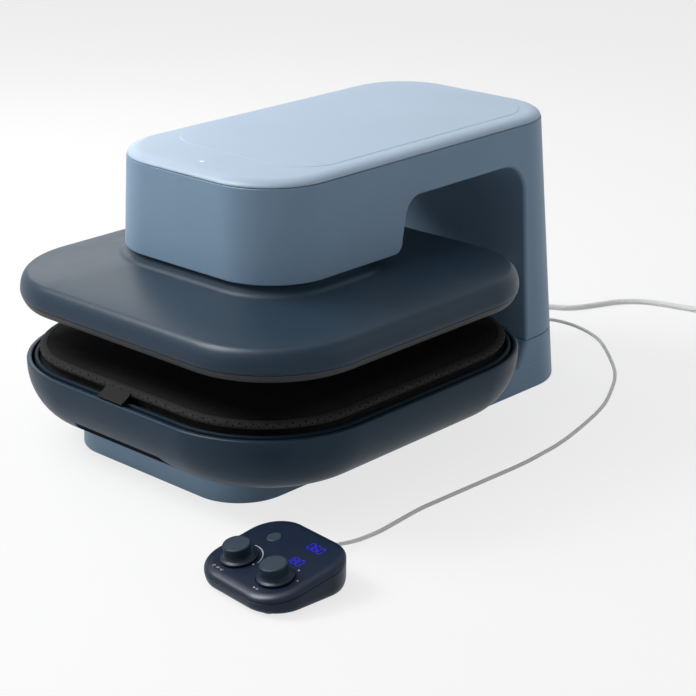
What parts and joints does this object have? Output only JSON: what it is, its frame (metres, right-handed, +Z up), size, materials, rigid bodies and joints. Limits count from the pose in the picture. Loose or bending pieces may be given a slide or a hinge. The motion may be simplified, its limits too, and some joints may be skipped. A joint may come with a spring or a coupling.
{
  "type": "flat heat press",
  "caption": "Desktop heat press with a hinged C-shaped head, a motor-driven upper platen over a padded lower tray, and a cabled control pod with dials.",
  "frame": {"origin": "on the floor, on the plane of symmetry of the press, in the middle of the centre rubber foot", "axes": "+X to the right seen from the front, +Y to the back, +Z up"},
  "size_m": [0.5403, 1.0769, 0.3132],
  "materials": {
    "blue_plastic": "satin",
    "pale_blue_plastic": "satin",
    "navy_plastic": "satin",
    "grey_plastic": "satin",
    "dial_plastic": "satin",
    "black_plastic": "satin",
    "mat_fabric": "woven",
    "foam": "matte",
    "felt": "matte",
    "rubber": "matte",
    "cord_grey": "satin",
    "tie_fabric": "woven",
    "steel": "brushed",
    "cast_aluminium": "satin",
    "motor_paint": "satin",
    "brass": "satin",
    "board": "matte",
    "ceramic": "matte",
    "lens": "gloss"
  },
  "bodies": {
    "base": {"rubber_feet": "rubber", "base_plate": "steel", "base_shell": "blue_plastic", "base_frame": "cast_aluminium", "platform_posts": "steel", "lower_tray": "navy_plastic", "platform_bezel": "navy_plastic", "support_plate": "cast_aluminium", "mat_core": "foam", "pressing_mat": "mat_fabric", "mat_tab": "mat_fabric", "power_board": "board", "hinge_base_leaf": "steel", "hinge_pin": "steel", "switch_frame": "black_plastic", "lead_gland": "rubber", "cable_gland": "rubber", "pod_feet": "rubber", "pod_base": "navy_plastic", "pod_top": "navy_plastic", "pod_board": "board", "display_module": "black_plastic", "dial_encoders": "black_plastic", "pod_gland": "rubber", "pod_cable": "cord_grey", "mains_lead": "cord_grey", "mains_coil": "cord_grey", "coil_tie": "tie_fabric", "mains_plug": "cord_grey", "plug_blades": "brass"},
    "head": {"head_shell": "blue_plastic", "head_floor": "blue_plastic", "top_cover": "pale_blue_plastic", "top_panel": "pale_blue_plastic", "status_light": "lens", "head_frame": "cast_aluminium", "hinge_head_leaf": "steel", "gear_frame": "cast_aluminium", "thrust_bearings": "steel", "guide_bushings": "brass", "drive_motor": "motor_paint"},
    "platen": {"platen_cover": "navy_plastic", "platen_neck": "navy_plastic", "platen_skirt": "grey_plastic", "heat_plate": "cast_aluminium", "heating_element": "steel", "thermal_cutout": "ceramic", "insulation_sheet": "felt", "standoffs": "steel", "carrier_plate": "cast_aluminium", "lead_screw": "steel", "guide_rods": "steel"},
    "screw_nut": {"nut_gear": "brass"},
    "pinion": {"motor_pinion": "steel"},
    "left_knob": {"left_dial": "dial_plastic"},
    "right_knob": {"right_dial": "dial_plastic"},
    "button": {"preset_button": "dial_plastic"},
    "rocker": {"power_rocker": "black_plastic"}
  },
  "joints": [
    {"name": "head_tilt", "type": "hinge", "parent": "base", "child": "head", "pos_m": [0, 0.347, 0.06], "axis": [-1, 0, 0], "range_deg": [0, 40]},
    {"name": "platen_press", "type": "slide", "parent": "head", "child": "platen", "axis": [0, 0, -1], "range_m": [0, 0.0438]},
    {"name": "nut_spin", "type": "hinge", "parent": "head", "child": "screw_nut", "pos_m": [0, -0.015, 0.229], "axis": [0, 0, 1], "continuous": true},
    {"name": "pinion_spin", "type": "hinge", "parent": "head", "child": "pinion", "pos_m": [0, -0.063, 0.229], "axis": [0, 0, 1], "continuous": true},
    {"name": "left_dial_turn", "type": "hinge", "parent": "base", "child": "left_knob", "pos_m": [0.23294, -0.28647, 0.02299], "axis": [-0.0162, -0.1649, 0.9862], "range_deg": [-135, 135]},
    {"name": "right_dial_turn", "type": "hinge", "parent": "base", "child": "right_knob", "pos_m": [0.28469, -0.29154, 0.02299], "axis": [-0.0162, -0.1649, 0.9862], "range_deg": [-135, 135]},
    {"name": "button_press", "type": "slide", "parent": "base", "child": "button", "axis": [0.0162, 0.1649, -0.9862], "range_m": [0, 0.001], "stiffness_N_per_m": 900},
    {"name": "rocker_tip", "type": "hinge", "parent": "base", "child": "rocker", "pos_m": [0, 0.343, 0.026], "axis": [-1, 0, 0], "range_deg": [0, 16]}
  ],
  "couplings": [
    {"joint": "nut_spin", "follows": "platen_press", "rad_per_m": 314.16},
    {"joint": "pinion_spin", "follows": "platen_press", "rad_per_m": -942.48}
  ]
}
